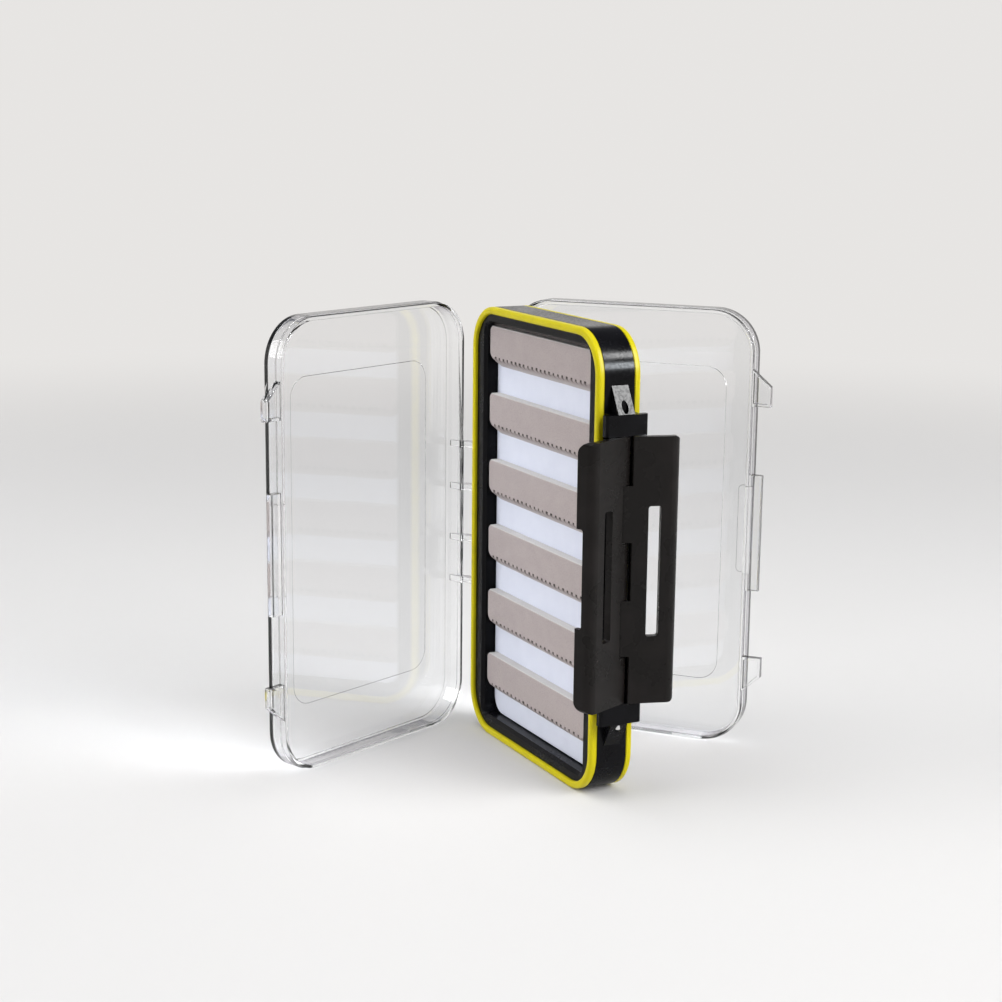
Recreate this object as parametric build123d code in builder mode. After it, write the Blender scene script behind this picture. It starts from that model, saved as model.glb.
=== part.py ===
from build123d import *

import os

# Double-sided fly box with slit foam. It stands on one short end, as it does when shown open.
# Millimetres. +Z is up along the 150 mm height. X runs across the width, from the lid hinges
# at -X to the latches at +X. Y runs through the thickness, and the front side faces -Y.
# The origin is the middle of the flat bottom end of the body frame.

# ---- body frame --------------------------------------------------------------------------
body_width = 89.0
body_height = 150.0
body_corner_radius = 14.5
body_thickness = 10.4          # between the two gasket shoulders
land_step = 1.3                # how far the inner land stands above the gasket shoulder
web_thickness = 1.4            # the divider between the front and rear compartments
side_rim_width = 8.1           # outline to compartment, at both long sides
end_rim_width = 6.1            # outline to compartment, at top and bottom
compartment_corner_radius = 3.0
mouth_chamfer = 1.1

# ---- gaskets -----------------------------------------------------------------------------
gasket_width = 2.5
gasket_depth = 2.4
gasket_edge_chamfer = 0.5
gasket_slack = 0.05

# ---- foam --------------------------------------------------------------------------------
sheet_thickness = 1.1
sheet_clearance = 0.3
sheet_corner_radius = 6.0
strip_pitch = 23.0
strip_face_height = 11.3
strip_thickness = 3.2
strip_slope = 2.6              # how far the slit face runs down from the front edge to the sheet
strip_end_clearance = 0.5
strip_top_clearance = 0.7
strip_upper_corner_chamfer = 1.3
strip_lower_corner_radius = 3.4

# ---- lids --------------------------------------------------------------------------------
lid_overhang = 0.4             # lid outline past the body outline, at the ends and hinge side
lid_latch_inset = 0.6          # body outline to lid outline, at the latch side
lid_depth = 8.0
lid_seal_gap = 0.1             # closed lid to unsqueezed gasket
lid_wall = 1.6
lid_rim_step = 0.45            # the rim band stands back from the wall
lid_rim_depth = 2.2
lid_lift = 0.4                 # the lids stand on the table, at the top of their hinge play
lid_cover = 1.3
lid_edge_chamfer = 0.9
lid_inner_chamfer = 0.7
lid_open = {"front": 66.1, "rear": 40.6}      # degrees, as the box stands

panel_width = 65.0
panel_height = 110.0
panel_corner_radius = 7.0
panel_depth = 0.35

thumb_width = 5.8
thumb_length = 30.5
thumb_depth = 0.6
thumb_corner_radius = 1.5

# ---- lid hinges --------------------------------------------------------------------------
hinge_offset = 3.0             # body side to hinge axes
hinge_spacing = 5.6            # between the front and rear axes
hinge_pin_radius = 0.9
hinge_lug_radius = 2.4
hinge_ear_radius = 2.3
hinge_station_spacing = 33.6   # between the middles of the two stations
hinge_lug_length = 12.2
hinge_ear_thickness = 2.0
hinge_end_gap = 0.5
hinge_pin_recess = 0.5
hinge_fit = 0.08               # ears turn on the pins
pin_seat_fit = 0.02            # pins sit tight in the frame
ear_reach = 6.0                # how far the ears run up the lid wall from the rim
ear_foot_width = 0.9
body_clearance = 0.6

# ---- latches -----------------------------------------------------------------------------
latch_pin_offset = 3.5         # body side to latch pin axis
latch_pin_radius = 0.8
latch_fit = 0.08
latch_knuckle_radius = 1.9
latch_thickness = 2.4
latch_lip_thickness = 1.8
latch_lip_overlap = 0.6        # over the edge of a closed lid
latch_lid_gap = 0.2
latch_bend_radius = 3.0
latch_inner_bend_radius = 1.2
latch_cut_back = 2.4           # pin axis to the plate's edge, beside the other latch's knuckles
latch_cut_chamfer = 0.3
latch_corner_radius = 4.5       # at the free edge of the lip
latch_end_radius = 2.0          # where the plate's ends meet the bend
latch_length = 85.2
latch_rise = 0.5               # middle of the body to the middle of the latches and guards
latch_end_knuckle = 15.2
latch_knuckle_gap = 0.3
latch_edge_radius = 0.4
lip_notch_length = 31.4
lip_notch_depth = 2.6
lip_notch_radius = 0.8
slot_radius = 0.8
latch_open = {"front": 24.5, "rear": 17.0}    # degrees, as the box stands

# ---- catch rib and lugs on the lids -------------------------------------------------------
rib_length = 40.0
rib_thickness = 2.8
rib_from_rim = 0.7
rib_engagement = 0.4           # how far a closed lid's rib reaches into the latch slot
rib_chamfer = 0.8
slot_side_clearance = 0.6
slot_end_clearance = 0.8
lug_wall = 1.0
lug_height = 6.8
lug_slope_height = 6.0
lug_depth = 2.5
lug_from_rim = 0.3
guard_gap = 0.15               # between the latches' ends and the guards
lug_latch_gap = 0.8

# ---- latch guards on the frame -----------------------------------------------------------
guard_height = 6.6
guard_side_gap = 0.2           # inside the gasket faces
guard_corner_radius = 1.0
ramp_height = 8.4
ramp_width = 5.8
ramp_set_back = 0.7
pin_entry_radius = 1.1
pin_entry_depth = 1.4
root_overlap = 0.5             # how far an added form reaches into the wall that carries it

# ---- worked out from the sizes above ------------------------------------------------------
side_x = body_width / 2
mid_z = body_height / 2
shoulder_y = body_thickness / 2
land_y = shoulder_y + land_step
gasket_y = shoulder_y + gasket_depth
web_y = web_thickness / 2
compartment_width = body_width - 2 * side_rim_width
compartment_height = body_height - 2 * end_rim_width

sheet_y = web_y + sheet_thickness
strip_y = sheet_y + strip_thickness
strip_length = compartment_width - 2 * strip_end_clearance
first_strip_top = body_height - end_rim_width - strip_top_clearance
strip_depth = strip_face_height + strip_slope
strip_room = first_strip_top - end_rim_width - strip_depth
strip_count = int(strip_room // strip_pitch) + 1

rim_y = gasket_y + lid_seal_gap
cover_y = rim_y + lid_depth
lid_x = side_x - lid_latch_inset
lid_hinge_x = side_x + lid_overhang
lid_root = lid_rim_step + root_overlap
lid_width = lid_x + lid_hinge_x
lid_height = body_height + 2 * lid_overhang
lid_corner_radius = body_corner_radius + lid_overhang

hinge_x = side_x + hinge_offset
hinge_y = hinge_spacing / 2
station_length = hinge_lug_length + 2 * (hinge_end_gap + hinge_ear_thickness)
station_heights = (mid_z - hinge_station_spacing / 2, mid_z + hinge_station_spacing / 2)

pin_x = side_x + latch_pin_offset
latch_outer_x = pin_x + latch_knuckle_radius
latch_inner_x = latch_outer_x - latch_thickness
lip_inner_y = cover_y + latch_lid_gap
lip_outer_y = lip_inner_y + latch_lip_thickness
lip_edge_x = lid_x - latch_lip_overlap
latch_z = mid_z + latch_rise
latch_low = latch_z - latch_length / 2
latch_high = latch_z + latch_length / 2
middle_knuckle = (latch_length - 2 * latch_end_knuckle) / 3
rib_near_y = rim_y + rib_from_rim
rib_far_y = rib_near_y + rib_thickness
rib_tip_x = latch_inner_x + rib_engagement
guard_low = latch_high + guard_gap
guard_high = guard_low + guard_height
lower_guard_low = 2 * latch_z - guard_high
ramp_x = latch_outer_x - ramp_set_back
lug_low = mid_z + latch_length / 2 + lug_latch_gap

sides = {"front": -1, "rear": 1}


def upright(y):
    """The plane facing -Y at the given Y, with its own X along +X and its own Y along +Z."""
    return Plane.XZ.offset(-y)


def label_and_save(part, node):
    part.label = node
    export_step(part, f"parts/{node}.step")


def swing(part, x, y, degrees):
    """The part turned about the upright axis through (x, y)."""
    return part.rotate(Axis((x, y, 0), (0, 0, 1)), degrees)


def facing(part, side):
    """A part made for the front side, as it is or mirrored to the rear."""
    return part if side == "front" else mirror(part, about=Plane.XZ)


def build_body_frame():
    with BuildPart() as frame:
        # outer wall, and the land that stands inside both gaskets
        with BuildSketch(upright(shoulder_y)):
            with Locations((0, mid_z)):
                RectangleRounded(body_width, body_height, body_corner_radius)
        extrude(amount=body_thickness)
        with BuildSketch(upright(land_y)):
            with Locations((0, mid_z)):
                RectangleRounded(
                    body_width - 2 * gasket_width,
                    body_height - 2 * gasket_width,
                    body_corner_radius - gasket_width,
                )
        extrude(amount=2 * land_y)

        # front and rear compartments, on both sides of the web
        with BuildSketch(upright(-web_y)) as compartment:
            with Locations((0, mid_z)):
                RectangleRounded(compartment_width, compartment_height, compartment_corner_radius)
        extrude(amount=land_y - web_y, mode=Mode.SUBTRACT)
        with BuildSketch(upright(land_y)):
            add(compartment.sketch_local)
        extrude(amount=land_y - web_y, mode=Mode.SUBTRACT)
        lands = frame.faces().filter_by(Axis.Y).group_by(Axis.Y)
        mouth_edges = lands[0][0].inner_wires()[0].edges() + lands[-1][0].inner_wires()[0].edges()
        chamfer(mouth_edges, length=mouth_chamfer)

        # latch guards above and below the latches, T-shaped from above
        for low in (guard_low, lower_guard_low):
            with BuildSketch(Plane.XY.offset(low)) as guard:
                with Locations(((side_x - root_overlap + latch_inner_x) / 2, 0)):
                    Rectangle(latch_inner_x - side_x + root_overlap, body_thickness)
                with Locations(((latch_inner_x + latch_outer_x) / 2, 0)):
                    Rectangle(latch_thickness, 2 * (gasket_y - guard_side_gap))
                outer_corners = guard.vertices().group_by(Axis.X)[-1]
                fillet(outer_corners, radius=guard_corner_radius)
            extrude(amount=guard_height)

        # ramps that run from the guards to the wall
        with BuildSketch(Plane.XZ):
            for base, tip in (
                (guard_high, guard_high + ramp_height),
                (lower_guard_low, lower_guard_low - ramp_height),
            ):
                with BuildLine():
                    Polyline(
                        (side_x - root_overlap, base),
                        (ramp_x, base),
                        (side_x, tip),
                        (side_x - root_overlap, tip),
                        close=True,
                    )
                make_face()
        extrude(amount=ramp_width / 2, both=True)

        # lid hinge lugs on the other side
        for middle in station_heights:
            with BuildSketch(Plane.XY.offset(middle - hinge_lug_length / 2)):
                with Locations((-(side_x - root_overlap + hinge_x) / 2, 0)):
                    Rectangle(hinge_x - side_x + root_overlap, body_thickness)
                with Locations((-hinge_x, hinge_y), (-hinge_x, -hinge_y)):
                    Circle(hinge_lug_radius)
                with Locations((-hinge_x, hinge_y), (-hinge_x, -hinge_y)):
                    Circle(hinge_pin_radius + pin_seat_fit, mode=Mode.SUBTRACT)
            extrude(amount=hinge_lug_length)

        # bore for the latch pin, wider where the pin goes in
        with BuildSketch(Plane.XY):
            with Locations((pin_x, 0)):
                Circle(latch_pin_radius + pin_seat_fit)
        extrude(amount=body_height, mode=Mode.SUBTRACT)
        with BuildSketch(Plane.XY.offset(guard_high - pin_entry_depth)):
            with Locations((pin_x, 0)):
                Circle(pin_entry_radius)
        extrude(amount=pin_entry_depth + ramp_height, mode=Mode.SUBTRACT)
    return frame.part


def build_gasket(side):
    with BuildPart() as gasket:
        with BuildSketch(upright(-shoulder_y)):
            with Locations((0, mid_z)):
                RectangleRounded(body_width, body_height, body_corner_radius)
                inner_inset = gasket_width - gasket_slack
                RectangleRounded(
                    body_width - 2 * inner_inset,
                    body_height - 2 * inner_inset,
                    body_corner_radius - inner_inset,
                    mode=Mode.SUBTRACT,
                )
        extrude(amount=gasket_depth)
        chamfer(gasket.faces().sort_by(Axis.Y)[0].edges(), length=gasket_edge_chamfer)
    return facing(gasket.part, side)


def build_foam_sheet(side):
    with BuildPart() as sheet:
        with BuildSketch(upright(-web_y)):
            with Locations((0, mid_z)):
                RectangleRounded(
                    compartment_width - 2 * sheet_clearance,
                    compartment_height - 2 * sheet_clearance,
                    sheet_corner_radius,
                )
        extrude(amount=sheet_thickness)
    return facing(sheet.part, side)


def build_foam_strip(side, top):
    """One strip. Its upper face is square to the sheet, and its lower face slopes out to it."""
    with BuildPart() as strip:
        with BuildSketch(Plane.YZ.offset(-strip_length / 2)):
            with BuildLine():
                Polyline(
                    (-sheet_y, top),
                    (-strip_y, top),
                    (-strip_y, top - strip_face_height),
                    (-sheet_y, top - strip_depth),
                    close=True,
                )
            make_face()
        extrude(amount=strip_length)
        cross_edges = strip.edges().filter_by(GeomType.LINE).group_by(Axis.Z)
        chamfer(cross_edges[-1].filter_by(Axis.Y), length=strip_upper_corner_chamfer)
        end_faces = strip.faces().filter_by(Axis.X)
        slit_face = strip.faces().sort_by(Axis.Z)[0]
        end_edges = [edge for edge in slit_face.edges() for end in end_faces if edge in end.edges()]
        fillet(end_edges, radius=strip_lower_corner_radius)
    return facing(strip.part, side)


def lug_outline(low, wall, inset):
    """Corners of an upper lug's side view, drawn inwards by inset except at the lid's wall."""
    return (
        (wall, low + inset),
        (latch_outer_x - inset, low + inset),
        (latch_outer_x - inset, low + lug_height - inset / 2),
        (wall, low + lug_height + lug_slope_height - 1.5 * inset),
    )


def lid_outline(inset):
    """The lid's outline at the rim, drawn inwards by inset."""
    with BuildSketch() as outline:
        with Locations(((lid_x - lid_hinge_x) / 2, mid_z)):
            RectangleRounded(
                lid_width - 2 * inset,
                lid_height - 2 * inset,
                lid_corner_radius - inset,
            )
    return outline.sketch


def build_lid(side):
    """A clear lid, closed over the front of the frame."""
    with BuildPart() as lid:
        # tray: cover, walls and the narrower rim band that meets the gasket
        with BuildSketch(upright(-rim_y)):
            add(lid_outline(lid_rim_step))
        extrude(amount=lid_rim_depth)
        with BuildSketch(upright(-rim_y - lid_rim_depth)):
            add(lid_outline(0))
        extrude(amount=lid_depth - lid_rim_depth)
        chamfer(lid.faces().sort_by(Axis.Y)[0].edges(), length=lid_edge_chamfer)
        with BuildSketch(upright(-rim_y)):
            add(lid_outline(lid_wall))
        extrude(amount=lid_depth - lid_cover, mode=Mode.SUBTRACT)
        ceiling = lid.faces().filter_by(Axis.Y).sort_by(Axis.Y)[1]
        chamfer(ceiling.edges(), length=lid_inner_chamfer)

        # shallow panel and thumb recess in the cover
        with BuildSketch(upright(-cover_y)):
            with Locations((0, mid_z)):
                RectangleRounded(panel_width, panel_height, panel_corner_radius)
        extrude(amount=-panel_depth, mode=Mode.SUBTRACT)
        with BuildSketch(upright(-cover_y)):
            with Locations((lid_x, mid_z)):
                RectangleRounded(2 * thumb_width, thumb_length, thumb_corner_radius)
        extrude(amount=-thumb_depth, mode=Mode.SUBTRACT)

        # catch rib for the slot in the latch, with a lead-in along its outer edge
        with BuildSketch(Plane.XY.offset(mid_z - rib_length / 2)) as rib:
            with Locations(((lid_x - lid_root + rib_tip_x) / 2, -(rib_near_y + rib_far_y) / 2)):
                Rectangle(rib_tip_x - lid_x + lid_root, rib_thickness)
            chamfer(rib.vertices().group_by(Axis.X)[-1].sort_by(Axis.Y)[0], length=rib_chamfer)
        extrude(amount=rib_length)

        # hollow lugs in line with the guards, open towards the rim
        with BuildSketch(upright(-(rim_y + lug_from_rim))) as lug:
            with BuildLine():
                Polyline(*lug_outline(lug_low, lid_x - lid_root, 0), close=True)
            make_face()
            mirror(about=Plane.XZ.offset(-mid_z))
        extrude(amount=lug_depth)
        with BuildSketch(upright(-(rim_y + lug_from_rim))):
            with BuildLine():
                Polyline(*lug_outline(lug_low, lid_x, lug_wall), close=True)
            make_face()
            mirror(about=Plane.XZ.offset(-mid_z))
        extrude(amount=lug_depth - lug_wall, mode=Mode.SUBTRACT)

        # two pairs of hinge ears
        for middle in station_heights:
            for low in (
                middle - station_length / 2,
                middle + station_length / 2 - hinge_ear_thickness,
            ):
                with BuildSketch(Plane.XY.offset(low)) as ear:
                    with Locations((-hinge_x, -hinge_y)):
                        Circle(hinge_ear_radius)
                    foot_width = ear_foot_width + lid_root
                    foot_x = lid_hinge_x + ear_foot_width - foot_width / 2
                    with Locations((-foot_x, -rim_y - ear_reach / 2)):
                        Rectangle(foot_width, ear_reach)
                    make_hull()
                    # room for the side of the body and its gasket
                    with Locations((-side_x - body_clearance, -rim_y - lid_seal_gap)):
                        Rectangle(
                            2 * hinge_offset,
                            2 * rim_y,
                            align=(Align.MIN, Align.MIN),
                            mode=Mode.SUBTRACT,
                        )
                    with Locations((-hinge_x, -hinge_y)):
                        Circle(hinge_pin_radius + hinge_fit, mode=Mode.SUBTRACT)
                extrude(amount=hinge_ear_thickness)
    return facing(lid.part, side)


def knuckle_spans(side):
    """Lowest and highest Z of each knuckle: the front latch has the two end ones and the middle."""
    ends = (latch_end_knuckle, middle_knuckle, middle_knuckle, middle_knuckle, latch_end_knuckle)
    spans = []
    low = latch_low
    for index, length in enumerate(ends):
        if (index % 2 == 0) == (side == "front"):
            lower_gap = 0 if index == 0 else latch_knuckle_gap / 2
            upper_gap = 0 if index == len(ends) - 1 else latch_knuckle_gap / 2
            spans.append((low + lower_gap, low + length - upper_gap))
        low += length
    return spans


def build_latch(side):
    """A latch flap closed over the front lid: a flat plate on the side and a lip over the cover."""
    with BuildPart() as latch:
        with BuildSketch(Plane.XY.offset(latch_low)) as flap:
            with BuildLine():
                Polyline(
                    (latch_inner_x, -latch_cut_back),
                    (latch_inner_x, -lip_inner_y),
                    (lip_edge_x, -lip_inner_y),
                    (lip_edge_x, -lip_outer_y),
                    (latch_outer_x, -lip_outer_y),
                    (latch_outer_x, -latch_cut_back - latch_cut_chamfer),
                    (latch_outer_x - latch_cut_chamfer, -latch_cut_back),
                    close=True,
                )
            make_face()
            outer_bend = flap.vertices().group_by(Axis.Y)[0].sort_by(Axis.X)[-1]
            fillet(outer_bend, radius=latch_bend_radius)
            inner_bend = flap.vertices().sort_by_distance((latch_inner_x, -lip_inner_y))[0]
            fillet(inner_bend, radius=latch_inner_bend_radius)
            lip_edge = flap.vertices().group_by(Axis.X)[0]
            fillet(lip_edge, radius=latch_edge_radius)
        extrude(amount=latch_length)

        # rounded free corners of the lip, and the notch that leaves room for a thumb
        with BuildSketch(upright(-lip_inner_y + latch_lid_gap)) as trim:
            with Locations((lip_edge_x - root_overlap, latch_z)):
                Rectangle(
                    latch_outer_x - lip_edge_x,
                    latch_length + 2 * root_overlap,
                    align=(Align.MIN, Align.CENTER),
                )
            with Locations((lip_edge_x, latch_z)):
                lip_blank = 2 * (latch_outer_x - lip_edge_x)
                RectangleRounded(
                    lip_blank,
                    latch_length,
                    latch_corner_radius,
                    align=(Align.MIN, Align.CENTER),
                    mode=Mode.SUBTRACT,
                )
        extrude(amount=lip_outer_y, mode=Mode.SUBTRACT)
        with BuildSketch(upright(-lip_inner_y + latch_lid_gap)):
            with Locations((lip_edge_x, latch_z)):
                RectangleRounded(2 * lip_notch_depth, lip_notch_length, lip_notch_radius)
        extrude(amount=lip_outer_y, mode=Mode.SUBTRACT)

        # rounded ends where the plate bends into the lip
        with BuildSketch(Plane.YZ.offset(lip_edge_x - root_overlap)):
            with Locations((-lip_outer_y, latch_z)):
                Rectangle(latch_end_radius, latch_length, align=(Align.MIN, Align.CENTER))
                RectangleRounded(
                    4 * latch_end_radius,
                    latch_length,
                    latch_end_radius,
                    align=(Align.MIN, Align.CENTER),
                    mode=Mode.SUBTRACT,
                )
        extrude(amount=latch_outer_x - lip_edge_x + 2 * root_overlap, mode=Mode.SUBTRACT)

        # slot that the lid's catch rib enters
        with BuildSketch(Plane.YZ.offset(latch_inner_x - root_overlap)):
            with Locations((-(rib_near_y + rib_far_y) / 2, latch_z)):
                RectangleRounded(
                    rib_thickness + 2 * slot_side_clearance,
                    rib_length + 2 * slot_end_clearance,
                    slot_radius,
                )
        extrude(amount=latch_thickness + 2 * root_overlap, mode=Mode.SUBTRACT)

        # knuckles round the latch pin
        for low, high in knuckle_spans(side):
            with BuildSketch(Plane.XY.offset(low)):
                with Locations((pin_x, 0)):
                    Circle(latch_knuckle_radius)
                with Locations((latch_inner_x, 0)):
                    Rectangle(
                        latch_thickness,
                        latch_cut_back + latch_cut_chamfer,
                        align=(Align.MIN, Align.MAX),
                    )
                with Locations((pin_x, 0)):
                    Circle(latch_pin_radius + latch_fit, mode=Mode.SUBTRACT)
            extrude(amount=high - low)
    return facing(latch.part, side)


def build_latch_pin():
    low = lower_guard_low - ramp_height * (1 - latch_pin_offset / (ramp_x - side_x))
    high = guard_high - pin_entry_depth
    with BuildPart() as pin:
        with BuildSketch(Plane.XY.offset(low)):
            with Locations((pin_x, 0)):
                Circle(latch_pin_radius)
        extrude(amount=high - low)
    return pin.part


def build_hinge_pin(side, middle):
    length = station_length - 2 * hinge_pin_recess
    with BuildPart() as pin:
        with BuildSketch(Plane.XY.offset(middle - length / 2)):
            with Locations((-hinge_x, sides[side] * hinge_y)):
                Circle(hinge_pin_radius)
        extrude(amount=length)
    return pin.part


os.makedirs("parts", exist_ok=True)

label_and_save(build_body_frame(), "body_frame")
label_and_save(build_latch_pin(), "latch_pin")

for side, outward in sides.items():
    label_and_save(build_gasket(side), f"gasket_{side}")
    label_and_save(build_foam_sheet(side), f"foam_sheet_{side}")
    for number in range(strip_count):
        strip_top = first_strip_top - number * strip_pitch
        label_and_save(build_foam_strip(side, strip_top), f"foam_strip_{side}_{number + 1}")

    lid = swing(build_lid(side), -hinge_x, outward * hinge_y, outward * lid_open[side])
    label_and_save(Pos(0, 0, lid_lift) * lid, f"lid_{side}")

    latch = swing(build_latch(side), pin_x, 0, -outward * latch_open[side])
    label_and_save(latch, f"latch_{side}")

    for station, middle in zip(("lower", "upper"), station_heights):
        label_and_save(build_hinge_pin(side, middle), f"hinge_pin_{side}_{station}")
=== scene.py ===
"""Looks for a double-sided fly box that stands open on one end.

Lengths are in metres, in the frame of its solids.
"""

import math
import random

import bmesh
import bpy
from mathutils import Matrix, Vector, noise


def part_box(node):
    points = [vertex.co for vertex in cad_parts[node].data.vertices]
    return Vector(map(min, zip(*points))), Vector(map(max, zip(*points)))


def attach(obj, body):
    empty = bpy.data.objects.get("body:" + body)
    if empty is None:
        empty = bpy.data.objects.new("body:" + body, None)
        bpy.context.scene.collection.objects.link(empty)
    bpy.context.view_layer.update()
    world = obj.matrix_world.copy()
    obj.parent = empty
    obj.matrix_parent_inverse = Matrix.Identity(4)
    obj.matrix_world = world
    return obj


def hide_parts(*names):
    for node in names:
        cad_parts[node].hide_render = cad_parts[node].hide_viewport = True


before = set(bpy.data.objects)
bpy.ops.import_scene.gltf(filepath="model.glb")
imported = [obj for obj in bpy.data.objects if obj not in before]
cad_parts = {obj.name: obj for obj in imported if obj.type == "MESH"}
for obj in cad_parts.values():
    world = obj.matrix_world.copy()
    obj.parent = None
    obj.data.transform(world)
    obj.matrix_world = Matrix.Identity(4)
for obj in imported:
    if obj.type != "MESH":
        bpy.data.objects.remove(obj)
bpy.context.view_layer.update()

MM = 0.001

# the way each side faces along Y
SIDES = {"front": -1, "rear": 1}

# foam strips
STRIPS_PER_SIDE = 6
STRIP_FACE = 11.3 * MM
STRIP_EDGE = 0.35 * MM
STRIP_LOWER_CORNER = 3.4 * MM
STRIP_UPPER_CORNER = 1.5 * MM
UPPER_CORNER_SLANT = 0.85
STRIP_WAVE = 9 * MM

# slits in the strips: a single one strays from its place, and its size varies by these factors
SLIT_PITCH = 3.0 * MM
SLIT_STRAY = 0.15 * MM
SLIT_WIDTH = 1.5 * MM
SLIT_WIDTH_VARIES = (0.6, 1.1)
SLIT_DEPTH = 0.8 * MM
SLIT_DEPTH_VARIES = (0.5, 1.1)
SLIT_FLOOR_SHARE = 0.8

# how pale a strip is painted: the moulded top has a paler skin and painted light, the sloping face
# painted light only, and the cut face neither
SKIN_AND_PAINTED_LIGHT, PAINTED_SLOPE_LIGHT, NO_SKIN = 1.0, 0.4, 0.0

# foam sheets
SHEET_EDGE = 0.25 * MM
SHEET_CORNER = 6 * MM
SHEET_WAVE = 18 * MM
FOAM_UNEVENNESS = 0.05 * MM

# gasket
BODY_CORNER = 14.5 * MM
GASKET_WIDTH = 2.45 * MM
GASKET_OUTER_EDGE = 1.0 * MM
GASKET_INNER_EDGE = 0.7 * MM
GASKET_SEAM = 0.3 * MM

# edge rounding of the moulded and turned pieces
FRAME_EDGE = 0.22 * MM
LATCH_EDGE = 0.6 * MM
LID_EDGE = 0.55 * MM
PIN_EDGE = 0.12 * MM

# points of a solid that are closer than this are one
WELD = 0.001 * MM

# degrees between two faces
FLAT_ANGLE = 0.5
ROUNDED_ANGLE = 28
SHARP_ANGLE = 40


# ---- shader nodes ------------------------------------------------------------------------
class Wire:
    """An output socket. Arithmetic on it adds Math nodes."""

    def __init__(self, finish, socket):
        self.finish = finish
        self.socket = socket

    def math(self, operation, *others):
        inputs = dict(enumerate((self, *others)))
        return self.finish.node("Math", {"operation": operation}, inputs)

    def __add__(self, other):
        return self.math("ADD", other)

    __radd__ = __add__

    def __mul__(self, other):
        return self.math("MULTIPLY", other)


class Finish:
    """One material and the nodes in it."""

    def __init__(self, name):
        self.material = bpy.data.materials.new(name)
        self.material.use_nodes = True
        self.tree = self.material.node_tree
        self.tree.nodes.clear()

    def node(self, kind, settings=None, inputs=None, output=0):
        """Adds a node: its settings first, then the values or links of its sockets."""
        made = self.tree.nodes.new("ShaderNode" + kind)
        for key, value in (settings or {}).items():
            setattr(made, key, value)
        for key, value in (inputs or {}).items():
            socket = self.find(made.inputs, key)
            if isinstance(value, Wire):
                self.tree.links.new(value.socket, socket)
            elif socket.type == "RGBA" and len(value) == 3:
                socket.default_value = (*value, 1)
            else:
                socket.default_value = value
        if made.outputs:
            return Wire(self, self.find(made.outputs, output))

    @staticmethod
    def find(sockets, key):
        """A socket by its number, identifier or name."""
        if isinstance(key, int):
            return sockets[key]
        return next(s for s in sockets if key in (s.identifier, s.name))

    def place(self):
        return self.node("TexCoord", output="Object")

    def grain(self, size, detail, stretch=(1, 1, 1)):
        """Noise from 0 to 1 with bumps of about that size, longer along a stretched axis."""
        at = self.node("Mapping", inputs={"Vector": self.place(), "Scale": stretch})
        return self.node("TexNoise", inputs={"Vector": at, "Scale": 1 / size, "Detail": detail})

    def cells(self, size):
        """Distance from the middle of cells of about that size."""
        inputs = {"Vector": self.place(), "Scale": 1 / size}
        return self.node("TexVoronoi", inputs=inputs, output="Distance")

    def blend(self, factor, low, high):
        """The low colour where the factor is 0, and the high one where it is 1."""
        inputs = {"Factor_Float": factor, "A_Color": low, "B_Color": high}
        return self.node("Mix", {"data_type": "RGBA"}, inputs, "Result_Color")

    def window(self, value, low, high):
        """0 below low, 1 above high, and a smooth rise between."""
        inputs = {"Value": value, "From Min": low, "From Max": high}
        return self.node("MapRange", {"interpolation_type": "SMOOTHSTEP"}, inputs)

    def bump(self, height, distance):
        return self.node("Bump", inputs={"Height": height, "Distance": distance, "Strength": 1.0})

    def shade(self, **inputs):
        """The main shader, joined to the output."""
        sockets = {key.replace("_", " "): value for key, value in inputs.items()}
        shader = self.node("BsdfPrincipled", inputs=sockets)
        self.node("OutputMaterial", inputs={"Surface": shader})
        return self.material


def frame_plastic():
    """Glossy black moulding with faint flow marks and handling haze."""
    f = Finish("frame_plastic")
    haze = f.window(f.grain(14 * MM, 4), 0.4, 0.75)
    scuffs = f.window(f.grain(0.9 * MM, 2), 0.45, 0.6)
    fine = f.grain(0.5 * MM, 3)
    return f.shade(
        Base_Color=f.blend(haze, (0.0025, 0.0024, 0.003), (0.005, 0.005, 0.0065)),
        Roughness=0.16 + haze * 0.08 + scuffs * 0.07,
        Specular_IOR_Level=0.09,
        Normal=f.bump(fine, 0.003 * MM),
    )


def latch_plastic():
    """Satin black moulding with a fine spark-eroded grain."""
    f = Finish("latch_plastic")
    haze = f.window(f.grain(11 * MM, 4), 0.4, 0.8)
    pebble = f.grain(0.35 * MM, 2)
    return f.shade(
        Base_Color=f.blend(haze, (0.0065, 0.0055, 0.005), (0.011, 0.009, 0.0085)),
        Roughness=0.27 + haze * 0.06,
        Specular_IOR_Level=0.13,
        Normal=f.bump(pebble, 0.004 * MM),
    )


def gasket_rubber():
    """Yellow silicone seal, a little darker where dust has caught."""
    f = Finish("gasket_rubber")
    dust = f.window(f.grain(5 * MM, 5), 0.5, 0.85)
    fine = f.grain(0.3 * MM, 3)
    return f.shade(
        Base_Color=f.blend(dust, (0.57, 0.49, 0.003), (0.48, 0.41, 0.005)),
        Roughness=0.30 + fine * 0.12,
        Specular_IOR_Level=0.15,
        Normal=f.bump(fine, 0.01 * MM),
    )


def sheet_foam():
    """White closed-cell sheet with a faint felt-like grain."""
    f = Finish("sheet_foam")
    cloudy = f.grain(7 * MM, 4)
    cells = f.cells(0.35 * MM)
    return f.shade(
        Base_Color=f.blend(cloudy, (0.64, 0.665, 0.77), (0.72, 0.745, 0.84)),
        Roughness=0.82 + cells * 0.1,
        Normal=f.bump(cells, 0.03 * MM),
    )


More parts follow.
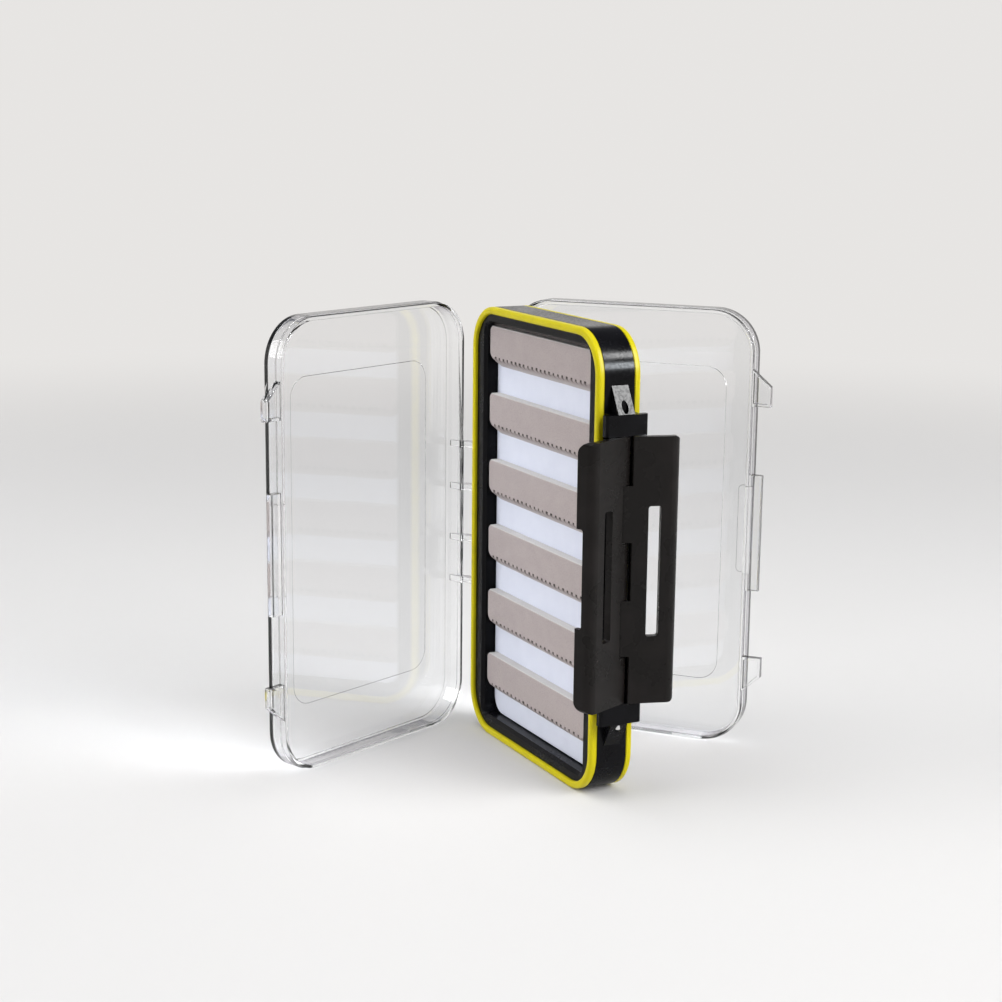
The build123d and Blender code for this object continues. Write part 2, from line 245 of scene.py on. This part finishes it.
def strip_foam():
    """Warm grey foam: open cells where it was cut, a paler skin elsewhere with painted light on
    the top, the sloping face and the ends, and painted shade in the slits.
    """
    f = Finish("strip_foam")
    cloudy = f.grain(6 * MM, 4)
    cells = f.cells(0.3 * MM)
    # the slit attribute marks where the notches are painted near-black: painted shade in the slits
    slit = f.node("Attribute", {"attribute_name": "slit"}, output="Fac")
    skin_and_light = f.node("Attribute", {"attribute_name": "skin_and_light"}, output="Fac")
    cut = f.blend(cloudy, (0.37, 0.32, 0.315), (0.43, 0.375, 0.365))
    pores = f.window(cells, 0.45, 0.8)
    pored = f.blend(pores * 0.35, cut, (0.24, 0.205, 0.20))
    # the pale blend is the moulded skin together with painted light on the top, the sloping face
    # and the ends
    faced = f.blend(skin_and_light, pored, (0.60, 0.585, 0.57))
    return f.shade(
        Base_Color=f.blend(slit, faced, (0.02, 0.014, 0.012)),
        Roughness=0.85 + cells * 0.1,
        Normal=f.bump(cells, 0.04 * MM),
    )


def clear_plastic():
    """Clear polycarbonate with a faint moulding ripple, tinted dark where seen edge-on: painted
    shade on the rims. Light passes it without a dark shadow.
    """
    f = Finish("clear_plastic")
    ripple = f.grain(9 * MM, 2)
    facing = f.node("LayerWeight", inputs={"Blend": 0.5}, output="Facing")
    # painted shade: where the surface is seen edge-on it is tinted dark, giving dark edge lines on
    # the rims
    edge_on_shade = f.window(facing, 0.4, 0.85)
    body = f.node(
        "BsdfPrincipled",
        inputs={
            "Base Color": f.blend(edge_on_shade, (0.97, 0.975, 0.98), (0.40, 0.37, 0.42)),
            "Roughness": 0.02,
            "IOR": 1.58,
            "Transmission Weight": 1.0,
            "Normal": f.bump(ripple, 0.01 * MM),
        },
    )
    passing = f.node("BsdfTransparent", inputs={"Color": (0.93, 0.94, 0.95)})
    shadow = f.node("LightPath", output="Is Shadow Ray")
    mixed = f.node("MixShader", inputs={0: shadow, 1: body, 2: passing})
    f.node("OutputMaterial", inputs={"Surface": mixed})
    return f.material


def pin_steel():
    """Drawn steel wire with fine lines along it."""
    f = Finish("pin_steel")
    lines = f.grain(0.2 * MM, 3, stretch=(1, 1, 0.05))
    return f.shade(
        Base_Color=f.blend(lines, (0.58, 0.57, 0.56), (0.72, 0.72, 0.73)),
        Metallic=1.0,
        Roughness=0.22 + lines * 0.15,
        Normal=f.bump(lines, 0.004 * MM),
    )


FINISHES = {
    "frame_plastic": frame_plastic(),
    "latch_plastic": latch_plastic(),
    "gasket_rubber": gasket_rubber(),
    "sheet_foam": sheet_foam(),
    "strip_foam": strip_foam(),
    "clear_plastic": clear_plastic(),
    "pin_steel": pin_steel(),
}


# ---- placing a piece -----------------------------------------------------------------------
def set_out(mesh, name, body, finish, *nodes):
    """Shows a mesh in place of the CAD nodes that it stands for."""
    mesh.materials.clear()
    mesh.materials.append(FINISHES[finish])
    piece = bpy.data.objects.new(name, mesh)
    bpy.context.scene.collection.objects.link(piece)
    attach(piece, body)
    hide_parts(*nodes)
    return piece


def softened(node, name, body, finish, edge):
    """A copy of a CAD node with its sharp edges rounded, as a moulded or turned piece has."""
    bm = bmesh.new()
    bm.from_mesh(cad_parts[node].data)
    bmesh.ops.remove_doubles(bm, verts=bm.verts, dist=WELD)
    flat = math.radians(FLAT_ANGLE)
    bmesh.ops.dissolve_limit(bm, angle_limit=flat, verts=bm.verts, edges=bm.edges)
    limit = math.radians(ROUNDED_ANGLE)
    sharp = [e for e in bm.edges if e.is_manifold and e.calc_face_angle(0) > limit]
    bmesh.ops.bevel(
        bm,
        geom=sharp,
        offset=edge,
        offset_type="OFFSET",
        segments=2,
        profile=0.5,
        affect="EDGES",
        clamp_overlap=True,
    )
    mesh = bpy.data.meshes.new(name)
    bm.to_mesh(mesh)
    bm.free()
    smooth(set_out(mesh, name, body, finish, node))


def smooth(piece):
    """Smooth shading that keeps flat faces flat."""
    mesh = piece.data
    mesh.polygons.foreach_set("use_smooth", [True] * len(mesh.polygons))
    mesh.set_sharp_from_angle(angle=math.radians(SHARP_ANGLE))
    weigh = piece.modifiers.new("weighted", "WEIGHTED_NORMAL")
    weigh.keep_sharp = True
    bpy.context.view_layer.update()
    evaluated = piece.evaluated_get(bpy.context.evaluated_depsgraph_get())
    final = bpy.data.meshes.new_from_object(evaluated)
    piece.modifiers.clear()
    piece.data = final


def loft(name, loops, ring=False):
    """A mesh through loops of equally many points. A ring joins its last loop to its first."""
    mesh = bpy.data.meshes.new(name)
    bm = bmesh.new()
    rows = [[bm.verts.new(p) for p in loop] for loop in loops]
    pairs = list(zip(rows, rows[1:]))
    if ring:
        pairs.append((rows[-1], rows[0]))
    for low, high in pairs:
        for i in range(len(low)):
            j = (i + 1) % len(low)
            bm.faces.new((low[i], low[j], high[j], high[i]))
    if not ring:
        bm.faces.new(reversed(rows[0]))
        bm.faces.new(rows[-1])
    bmesh.ops.recalc_face_normals(bm, faces=bm.faces)
    bm.to_mesh(mesh)
    bm.free()
    return mesh


def quarter(start, radius, steps):
    """Points on a quarter circle round the origin, from the start angle in degrees."""
    angles = [math.radians(start + 90 * i / steps) for i in range(steps + 1)]
    return [(radius * math.cos(a), radius * math.sin(a)) for a in angles]


def rounded_path(low, high, radius, steps):
    """Points and outward directions round a rounded rectangle in X and Z."""
    left, bottom = low.x + radius, low.z + radius
    right, top = high.x - radius, high.z - radius
    corners = ((right, top, 0), (left, top, 90), (left, bottom, 180), (right, bottom, 270))
    return [
        ((x + radius * nx, z + radius * nz), (nx, nz))
        for x, z, start in corners
        for nx, nz in quarter(start, 1, steps)
    ]


# ---- the pieces ------------------------------------------------------------------------------
def make_gasket(side):
    """A sealing ring with well rounded edges. A dark seam is left where it meets the frame."""
    node = f"gasket_{side}"
    low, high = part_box(node)
    out = SIDES[side]
    seat, tip = (high.y, low.y) if out < 0 else (low.y, high.y)
    depth = abs(tip - seat)
    profile = [(GASKET_SEAM, 0), (GASKET_SEAM, GASKET_SEAM * 0.6), (0, GASKET_SEAM * 1.2)]
    profile += [
        (GASKET_OUTER_EDGE - u, depth - GASKET_OUTER_EDGE + v)
        for u, v in quarter(0, GASKET_OUTER_EDGE, steps=5)
    ]
    inner = GASKET_WIDTH - GASKET_INNER_EDGE
    profile += [
        (inner - u, depth - GASKET_INNER_EDGE + v)
        for u, v in quarter(90, GASKET_INNER_EDGE, steps=4)
    ]
    profile.append((GASKET_WIDTH, 0))
    path = rounded_path(low, high, BODY_CORNER, steps=14)
    loops = [
        [(x - nx * u, seat + out * v, z - nz * u) for u, v in profile] for (x, z), (nx, nz) in path
    ]
    mesh = loft(node, loops, ring=True)
    smooth(set_out(mesh, f"{node}_ring", "body", "gasket_rubber", node))


def make_sheet(side):
    """A glued foam sheet with softly rounded edges and a slightly uneven face."""
    node = f"foam_sheet_{side}"
    low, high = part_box(node)
    out = SIDES[side]
    back, face = (high.y, low.y) if out < 0 else (low.y, high.y)
    path = rounded_path(low, high, SHEET_CORNER, steps=8)
    middle = (low + high) / 2

    def ring(inset, y):
        return [(x - nx * inset, y, z - nz * inset) for (x, z), (nx, nz) in path]

    rows = [ring(SHEET_EDGE, back), ring(0, back + out * SHEET_EDGE)]
    rows += [ring(0, face - out * SHEET_EDGE), ring(SHEET_EDGE, face)]
    for share in (0.15, 0.3, 0.5, 0.7, 0.9):
        row = []
        for x, y, z in ring(SHEET_EDGE, face):
            x, z = x + (middle.x - x) * share, z + (middle.z - z) * share
            lift = noise.noise(Vector((x, out * 0.5, z)) / SHEET_WAVE) * FOAM_UNEVENNESS
            row.append((x, y - out * abs(lift), z))
        rows.append(row)
    piece = set_out(loft(node, rows), f"{node}_felt", "body", "sheet_foam", node)
    smooth(piece)


def strip_profile(top, bottom, back, face, slope):
    """The points of a strip's section, square on top and sloping below.

    Each is its y, its z, how pale it is painted for its skin and for painted light, and whether it
    rises in a slit.
    """
    edge = math.copysign(STRIP_EDGE, back - face)
    depth = back - face
    return [
        (back, top, SKIN_AND_PAINTED_LIGHT, False),
        (face + edge, top, SKIN_AND_PAINTED_LIGHT, False),
        (face + edge * 0.3, top - STRIP_EDGE * 0.3, SKIN_AND_PAINTED_LIGHT, False),
        (face, top - STRIP_EDGE, NO_SKIN, False),
        (face, bottom + SLIT_DEPTH * 1.3, NO_SKIN, False),
        (face, bottom + STRIP_EDGE * 0.6, NO_SKIN, True),
        (face + edge * 0.25, bottom + STRIP_EDGE * 0.1, NO_SKIN, True),
        (face + depth * 0.3, bottom - slope * 0.3, NO_SKIN, False),
        # the sloping face is painted paler: painted light where it faces down into shade
        (face + depth * 0.65, bottom - slope * 0.65, PAINTED_SLOPE_LIGHT, False),
        (back, bottom - slope, PAINTED_SLOPE_LIGHT, False),
    ]


def strip_stations(low, high, chance):
    """The places along X where a strip's section is drawn.

    Each gives its distance from the nearer end and how far the slit there rises.
    """
    stations = {}
    for share in (0, 0.05, 0.15, 0.3, 0.45, 0.6, 0.8, 1.0):
        inside = STRIP_LOWER_CORNER * share
        stations[low + inside] = stations[high - inside] = (inside, 0)
    count = int((high - low - 2 * STRIP_LOWER_CORNER) / SLIT_PITCH)
    start = (low + high) / 2 - count * SLIT_PITCH / 2
    for i in range(count + 1):
        x = start + i * SLIT_PITCH + chance.uniform(-SLIT_STRAY, SLIT_STRAY)
        wide = SLIT_WIDTH * chance.uniform(*SLIT_WIDTH_VARIES) / 2
        deep = SLIT_DEPTH * chance.uniform(*SLIT_DEPTH_VARIES)
        inside = min(x - low, high - x)
        for share, rise in ((1, 0), (SLIT_FLOOR_SHARE, deep)):
            stations[x - wide * share] = stations[x + wide * share] = (inside, rise)
    return stations


def make_strip(side, number):
    """A foam strip with slits through its lower edge."""
    node = f"foam_strip_{side}_{number}"
    low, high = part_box(node)
    out = SIDES[side]
    back, face = (high.y, low.y) if out < 0 else (low.y, high.y)
    slope = (high.z - low.z) - STRIP_FACE
    stations = strip_stations(low.x, high.x, random.Random(f"{side} {number}"))
    loops, slits, skin_and_light_values = [], [], []
    for x in sorted(stations):
        inside, deep = stations[x]
        gap = max(STRIP_LOWER_CORNER - inside, 0)
        rise = STRIP_LOWER_CORNER - math.sqrt(STRIP_LOWER_CORNER**2 - gap**2)
        drop = max(STRIP_UPPER_CORNER - inside, 0) * UPPER_CORNER_SLANT
        shrink = max(STRIP_EDGE * 0.6 - inside, 0)
        sway = noise.noise(Vector((x, out, number)) / STRIP_WAVE) * FOAM_UNEVENNESS
        top = high.z - drop - shrink
        bottom = high.z - STRIP_FACE + rise + shrink + sway
        front = face + (back - face) * shrink / MM
        loop = []
        for y, z, skin_and_light, in_slit in strip_profile(top, bottom, back, front, slope):
            loop.append((x, y, z + deep if in_slit else z))
            # points inside a slit get painted shade
            slits.append(1.0 if in_slit and deep else 0.0)
            # the ends of a strip are painted fully pale: a painted highlight on their edges
            skin_and_light_values.append(SKIN_AND_PAINTED_LIGHT if inside < STRIP_EDGE else skin_and_light)
        loops.append(loop)
    mesh = loft(node, loops)
    for name, values in (("slit", slits), ("skin_and_light", skin_and_light_values)):
        mesh.attributes.new(name, "FLOAT", "POINT").data.foreach_set("value", values)
    piece = set_out(mesh, f"{node}_slit", "body", "strip_foam", node)
    smooth(piece)


def make_pieces():
    softened("body_frame", "moulded_frame", "body", "frame_plastic", FRAME_EDGE)
    softened("latch_pin", "latch_pin_wire", "body", "pin_steel", PIN_EDGE)
    for side in SIDES:
        make_gasket(side)
        make_sheet(side)
        for number in range(1, STRIPS_PER_SIDE + 1):
            make_strip(side, number)
        lid = f"lid_{side}"
        softened(lid, f"{lid}_tray", lid, "clear_plastic", LID_EDGE)
        latch = f"latch_{side}"
        softened(latch, f"{latch}_flap", latch, "latch_plastic", LATCH_EDGE)
        for station in ("upper", "lower"):
            pin = f"hinge_pin_{side}_{station}"
            softened(pin, f"{pin}_wire", "body", "pin_steel", PIN_EDGE)


# ---- studio ----------------------------------------------------------------------------------
def backdrop_paper():
    """Pale paper. Away from the box it looks evenly pale, whatever light reaches it."""
    near, far = 0.35, 1.1
    f = Finish("paper")
    lit = f.node("BsdfPrincipled", inputs={"Base Color": (0.64, 0.632, 0.624), "Roughness": 0.9})
    even = f.node("Emission", inputs={"Color": (0.80, 0.785, 0.77), "Strength": 1.0})
    reach = f.node("VectorMath", {"operation": "LENGTH"}, {0: f.place()}, "Value")
    seen = f.node("LightPath", output="Is Camera Ray")
    for ray in ("Is Glossy Ray", "Is Transmission Ray"):
        seen = seen.math("MAXIMUM", f.node("LightPath", output=ray))
    inputs = {0: seen * f.window(reach, near, far), 1: lit, 2: even}
    f.node("OutputMaterial", inputs={"Surface": f.node("MixShader", inputs=inputs)})
    return f.material


def make_bowl():
    """A pale floor that curves up all round."""
    floor_radius, bend, wall, steps, sides = 1.4, 0.7, 0.5, 12, 96
    profile = [(floor_radius, 0)]
    for i in range(1, steps + 1):
        a = math.radians(90 * i / steps)
        profile.append((floor_radius + bend * math.sin(a), bend * (1 - math.cos(a))))
    profile.append((floor_radius + bend, bend + wall))
    angles = [2 * math.pi * i / sides for i in range(sides)]
    bm = bmesh.new()
    centre = bm.verts.new((0, 0, 0))
    rows = [
        [bm.verts.new((r * math.cos(a), r * math.sin(a), z)) for a in angles] for r, z in profile
    ]
    for i in range(sides):
        j = (i + 1) % sides
        bm.faces.new((centre, rows[0][i], rows[0][j]))
        for low, high in zip(rows, rows[1:]):
            bm.faces.new((low[i], high[i], high[j], low[j]))
    mesh = bpy.data.meshes.new("studio_bowl")
    bm.to_mesh(mesh)
    bm.free()
    for face in mesh.polygons:
        face.use_smooth = True
    mesh.materials.append(backdrop_paper())
    bowl = bpy.data.objects.new("studio_bowl", mesh)
    bpy.context.scene.collection.objects.link(bowl)


def make_lamp(name, place, width, height, watts, colour=(1, 1, 1)):
    """A rectangular lamp that points at the middle of the box."""
    light = bpy.data.lights.new(name, "AREA")
    light.shape = "RECTANGLE"
    light.size, light.size_y = width, height
    light.energy, light.color = watts, colour
    lamp = bpy.data.objects.new(name, light)
    lamp.location = place
    aim = Vector((0, 0, 0.08)) - Vector(place)
    lamp.rotation_euler = aim.to_track_quat("-Z", "Y").to_euler()
    bpy.context.scene.collection.objects.link(lamp)
    return lamp


def make_light():
    """Broad lamps light the box softly. Two small ones only put a shine on its glossy faces."""
    make_lamp("overhead", (-0.1, -0.3, 1.3), 1.1, 1.0, 9)
    make_lamp("from_left", (-0.4, -1.2, 0.6), 0.9, 0.7, 8.5).visible_glossy = False
    make_lamp("from_right", (1.0, 0.7, 0.8), 1.1, 1.0, 23).visible_glossy = False
    low = make_lamp("low_shine", (1.12, 0.69, 0.56), 0.3, 0.27, 17, (0.9, 0.95, 1))
    high = make_lamp("high_shine", (0.81, 0.69, 0.99), 0.28, 0.26, 14)
    low.visible_diffuse = high.visible_diffuse = False
    world = bpy.data.worlds.new("room")
    world.use_nodes = True
    background = world.node_tree.nodes["Background"].inputs
    background["Color"].default_value = (0.9, 0.93, 1, 1)
    background["Strength"].default_value = 0.25
    bpy.context.scene.world = world


def make_camera():
    """A long lens, a little above the box and on its latch side."""
    place = Vector((566.531, -301.0, 221.133)) * MM
    yaw, pitch, roll = (math.radians(a) for a in (63.455, 12.353, 0.619))
    flat = math.cos(pitch)
    ahead = Vector((-math.sin(yaw) * flat, math.cos(yaw) * flat, -math.sin(pitch)))
    right = Vector((math.cos(yaw), math.sin(yaw), 0))
    up = right.cross(ahead)
    turned_right = right * math.cos(roll) + up * math.sin(roll)
    turned_up = up * math.cos(roll) - right * math.sin(roll)
    data = bpy.data.cameras.new("camera")
    data.sensor_width = 36
    data.lens = 71.16
    data.shift_y = 0.02295
    data.clip_start = 0.01
    camera = bpy.data.objects.new("camera", data)
    rows = Matrix((turned_right, turned_up, -ahead)).transposed()
    camera.matrix_world = Matrix.Translation(place) @ rows.to_4x4()
    bpy.context.scene.collection.objects.link(camera)
    bpy.context.scene.camera = camera


make_pieces()
make_bowl()
make_light()
make_camera()
bpy.context.scene.view_settings.view_transform = "Standard"
